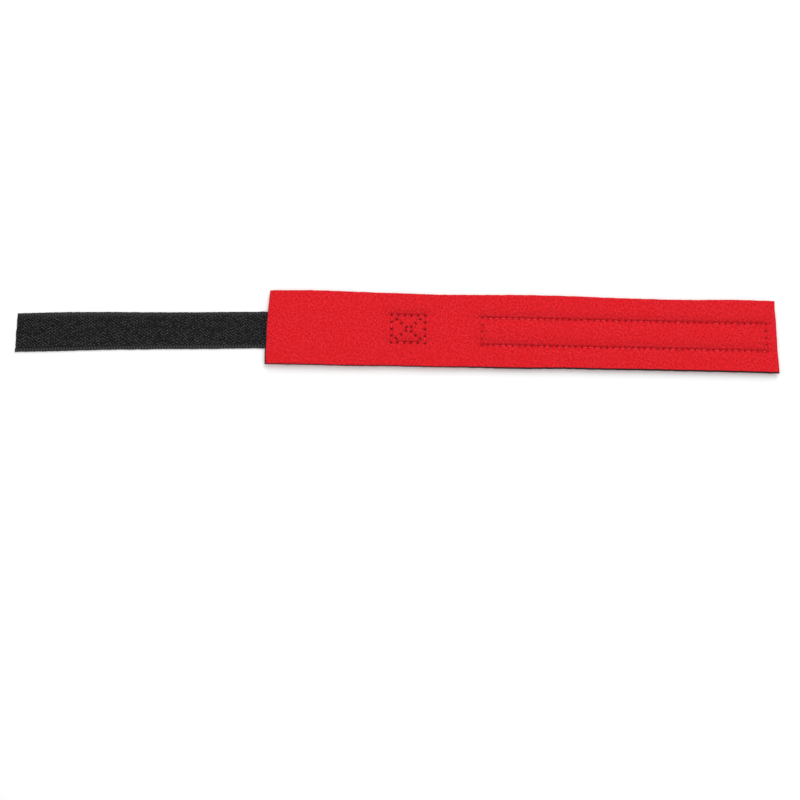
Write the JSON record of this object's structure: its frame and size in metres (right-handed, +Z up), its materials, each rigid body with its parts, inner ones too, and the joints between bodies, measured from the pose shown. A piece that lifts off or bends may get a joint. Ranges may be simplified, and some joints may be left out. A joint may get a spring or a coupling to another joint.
{
  "type": "wrist support brace",
  "caption": "Long laminated foam band with a sewn hook-tape tail and a loop patch; lies open and flat, skin side up, and wraps round a wrist or ankle to close on itself.",
  "frame": {"origin": "middle of the whole strap's length and of the band's width, at the floor it lies on", "axes": "+X from the free hook tail towards the loop patch, +Z up out of the skin side"},
  "size_m": [0.472, 0.046, 0.0051],
  "materials": {
    "foam_core": "closed-cell foam, cut edge",
    "red_jersey": "fine knit laminated to the foam",
    "black_hook_tape": "woven nylon tape with moulded hooks",
    "black_loop_tape": "brushed loop pile",
    "red_thread": "spun polyester thread",
    "black_thread": "spun polyester thread"
  },
  "bodies": {
    "band_01": {"neoprene_core_01": "foam_core", "jersey_faces_01": "red_jersey", "hook_tape_sewn_01": "black_hook_tape"},
    "band_02": {"neoprene_core_02": "foam_core", "jersey_faces_02": "red_jersey", "hook_tape_sewn_02": "black_hook_tape"},
    "band_03": {"neoprene_core_03": "foam_core", "jersey_faces_03": "red_jersey", "hook_tape_sewn_03": "black_hook_tape"},
    "band_04": {"neoprene_core_04": "foam_core", "jersey_faces_04": "red_jersey", "hook_tape_sewn_04": "black_hook_tape"},
    "band_05": {"neoprene_core_05": "foam_core", "jersey_faces_05": "red_jersey", "hook_tape_sewn_05": "black_hook_tape", "box_stitch_top": "red_thread", "box_stitch_bobbin": "black_thread"},
    "band_06": {"neoprene_core_06": "foam_core", "jersey_faces_06": "red_jersey"},
    "band_07": {"neoprene_core_07": "foam_core", "jersey_faces_07": "red_jersey", "loop_tape_01": "black_loop_tape", "loop_seam_thread_01": "red_thread"},
    "band_08": {"neoprene_core_08": "foam_core", "jersey_faces_08": "red_jersey", "loop_tape_02": "black_loop_tape", "loop_seam_thread_02": "red_thread"},
    "band_09": {"neoprene_core_09": "foam_core", "jersey_faces_09": "red_jersey", "loop_tape_03": "black_loop_tape", "loop_seam_thread_03": "red_thread"},
    "band_10": {"neoprene_core_10": "foam_core", "jersey_faces_10": "red_jersey", "loop_tape_04": "black_loop_tape", "loop_seam_thread_04": "red_thread"},
    "band_11": {"neoprene_core_11": "foam_core", "jersey_faces_11": "red_jersey", "loop_tape_05": "black_loop_tape", "loop_seam_thread_05": "red_thread"},
    "band_12": {"neoprene_core_12": "foam_core", "jersey_faces_12": "red_jersey", "loop_tape_06": "black_loop_tape", "loop_seam_thread_06": "red_thread"},
    "band_13": {"neoprene_core_13": "foam_core", "jersey_faces_13": "red_jersey", "loop_tape_07": "black_loop_tape", "loop_seam_thread_07": "red_thread"},
    "band_14": {"neoprene_core_14": "foam_core", "jersey_faces_14": "red_jersey", "loop_tape_08": "black_loop_tape", "loop_seam_thread_08": "red_thread"},
    "tail_01": {"hook_tail_01": "black_hook_tape"},
    "tail_02": {"hook_tail_02": "black_hook_tape"},
    "tail_03": {"hook_tail_03": "black_hook_tape"},
    "tail_04": {"hook_tail_04": "black_hook_tape"},
    "tail_05": {"hook_tail_05": "black_hook_tape"},
    "tail_06": {"hook_tail_06": "black_hook_tape"}
  },
  "joints": [
    {"name": "band_wrap", "type": "hinge", "parent": "band_07", "child": "band_06", "pos_m": [0.049, 0, 0.0048], "axis": [0, 1, 0], "range_deg": [0, 27.19]},
    {"name": "band_bend_05", "type": "hinge", "parent": "band_06", "child": "band_05", "pos_m": [0.0245, 0, 0.0048], "axis": [0, 1, 0], "range_deg": [0, 30.41]},
    {"name": "band_bend_04", "type": "hinge", "parent": "band_05", "child": "band_04", "pos_m": [-0.005, 0, 0.0048], "axis": [0, 1, 0], "range_deg": [0, 27]},
    {"name": "band_bend_03", "type": "hinge", "parent": "band_04", "child": "band_03", "pos_m": [-0.0235, 0, 0.0048], "axis": [0, 1, 0], "range_deg": [0, 20.71]},
    {"name": "band_bend_02", "type": "hinge", "parent": "band_03", "child": "band_02", "pos_m": [-0.042, 0, 0.0048], "axis": [0, 1, 0], "range_deg": [0, 20.71]},
    {"name": "band_bend_01", "type": "hinge", "parent": "band_02", "child": "band_01", "pos_m": [-0.0605, 0, 0.0048], "axis": [0, 1, 0], "range_deg": [0, 20.71]},
    {"name": "band_bend_08", "type": "hinge", "parent": "band_07", "child": "band_08", "pos_m": [0.073, 0, 0.0048], "axis": [0, -1, 0], "range_deg": [0, 27.33]},
    {"name": "band_bend_09", "type": "hinge", "parent": "band_08", "child": "band_09", "pos_m": [0.09629, 0, 0.0048], "axis": [0, -1, 0], "range_deg": [0, 26.91]},
    {"name": "band_bend_10", "type": "hinge", "parent": "band_09", "child": "band_10", "pos_m": [0.11957, 0, 0.0048], "axis": [0, -1, 0], "range_deg": [0, 26.91]},
    {"name": "band_bend_11", "type": "hinge", "parent": "band_10", "child": "band_11", "pos_m": [0.14286, 0, 0.0048], "axis": [0, -1, 0], "range_deg": [0, 26.91]},
    {"name": "band_bend_12", "type": "hinge", "parent": "band_11", "child": "band_12", "pos_m": [0.16614, 0, 0.0048], "axis": [0, -1, 0], "range_deg": [0, 26.91]},
    {"name": "band_bend_13", "type": "hinge", "parent": "band_12", "child": "band_13", "pos_m": [0.18943, 0, 0.0048], "axis": [0, -1, 0], "range_deg": [0, 26.91]},
    {"name": "band_bend_14", "type": "hinge", "parent": "band_13", "child": "band_14", "pos_m": [0.21271, 0, 0.0048], "axis": [0, -1, 0], "range_deg": [0, 26.91]},
    {"name": "tail_wrap", "type": "hinge", "parent": "band_01", "child": "tail_01", "pos_m": [-0.079, 0, 0.0018], "axis": [0, 1, 0], "range_deg": [0, 25.09]},
    {"name": "tail_bend_02", "type": "hinge", "parent": "tail_01", "child": "tail_02", "pos_m": [-0.1061, 0, 0.0018], "axis": [0, 1, 0], "range_deg": [0, 26.91]},
    {"name": "tail_bend_03", "type": "hinge", "parent": "tail_02", "child": "tail_03", "pos_m": [-0.13192, 0, 0.0018], "axis": [0, 1, 0], "range_deg": [0, 26.91]},
    {"name": "tail_bend_04", "type": "hinge", "parent": "tail_03", "child": "tail_04", "pos_m": [-0.15774, 0, 0.0018], "axis": [0, 1, 0], "range_deg": [0, 26.91]},
    {"name": "tail_bend_05", "type": "hinge", "parent": "tail_04", "child": "tail_05", "pos_m": [-0.18356, 0, 0.0018], "axis": [0, 1, 0], "range_deg": [0, 26.91]},
    {"name": "tail_bend_06", "type": "hinge", "parent": "tail_05", "child": "tail_06", "pos_m": [-0.20938, 0, 0.0018], "axis": [0, 1, 0], "range_deg": [0, 26.91]}
  ],
  "couplings": [
    {"joint": "band_bend_05", "follows": "band_wrap", "ratio": 1.1163},
    {"joint": "band_bend_04", "follows": "band_wrap", "ratio": 0.99099},
    {"joint": "band_bend_03", "follows": "band_wrap", "ratio": 0.75986},
    {"joint": "band_bend_02", "follows": "band_wrap", "ratio": 0.75986},
    {"joint": "band_bend_01", "follows": "band_wrap", "ratio": 0.75986},
    {"joint": "band_bend_08", "follows": "band_wrap", "ratio": 1.0031},
    {"joint": "band_bend_09", "follows": "band_wrap", "ratio": 0.98764},
    {"joint": "band_bend_10", "follows": "band_wrap", "ratio": 0.98764},
    {"joint": "band_bend_11", "follows": "band_wrap", "ratio": 0.98764},
    {"joint": "band_bend_12", "follows": "band_wrap", "ratio": 0.98764},
    {"joint": "band_bend_13", "follows": "band_wrap", "ratio": 0.98764},
    {"joint": "band_bend_14", "follows": "band_wrap", "ratio": 0.98764},
    {"joint": "tail_bend_02", "follows": "tail_wrap", "ratio": 1.0703},
    {"joint": "tail_bend_03", "follows": "tail_wrap", "ratio": 1.0703},
    {"joint": "tail_bend_04", "follows": "tail_wrap", "ratio": 1.0703},
    {"joint": "tail_bend_05", "follows": "tail_wrap", "ratio": 1.0703},
    {"joint": "tail_bend_06", "follows": "tail_wrap", "ratio": 1.0703}
  ]
}
